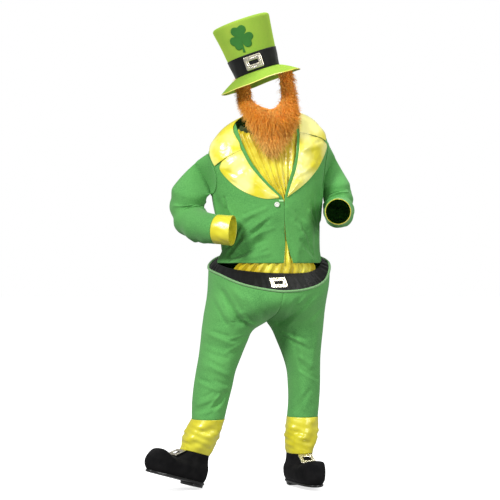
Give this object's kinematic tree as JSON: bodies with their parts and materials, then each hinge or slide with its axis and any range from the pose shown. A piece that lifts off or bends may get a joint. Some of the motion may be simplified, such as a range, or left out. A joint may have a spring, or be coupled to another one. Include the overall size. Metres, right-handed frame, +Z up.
{
  "type": "leprechaun costume",
  "caption": "Worn leprechaun costume: felt top hat, fur beard, jersey jacket with satin lapels and mock shirt, hooped trousers with a belt, ankle cuffs and buckled shoes.",
  "frame": {"origin": "Middle of the neck at the height of the collar.", "axes": "Z up; the front faces -Y; the wearer's left is +X."},
  "size_m": [0.8599, 0.5022, 1.961],
  "materials": {
    "jersey": "matte knit",
    "satin": "satin sheen",
    "felt": "matte felt",
    "applique": "matte felt",
    "black_satin": "soft satin",
    "rim_piping": "matte",
    "neck_binding": "matte knit",
    "loop": "matte cord",
    "fur": "soft pile",
    "buckle_metal": "pale polished",
    "pearl": "pearly gloss",
    "shoe_velour": "short nap",
    "shoe_sole": "glossy"
  },
  "bodies": {
    "root": {"jacket_front_right": "jersey", "jacket_front_left": "jersey", "jacket_back": "jersey", "lapel_right": "satin", "lapel_left": "satin", "collar": "satin", "shirt_front": "satin", "shirt_neck_binding": "neck_binding", "button": "pearl", "button_loop": "loop", "sleeve_right": "jersey", "sleeve_left": "jersey", "sleeve_cuff_right": "satin", "sleeve_cuff_left": "satin", "belt": "black_satin", "waist_hoop": "rim_piping", "belt_buckle": "buckle_metal", "trouser_front_right": "jersey", "trouser_front_left": "jersey", "trouser_back_right": "jersey", "trouser_back_left": "jersey", "ankle_cuff_right": "satin", "ankle_cuff_left": "satin", "shoe_upper_right": "shoe_velour", "shoe_upper_left": "shoe_velour", "shoe_sole_right": "shoe_sole", "shoe_sole_left": "shoe_sole", "shoe_heel_right": "shoe_sole", "shoe_heel_left": "shoe_sole", "shoe_buckle_right": "buckle_metal", "shoe_buckle_left": "buckle_metal", "hat_crown": "felt", "hat_brim": "felt", "hat_band": "black_satin", "hat_buckle": "buckle_metal", "hat_shamrock": "applique", "beard": "fur"}
  },
  "joints": []
}
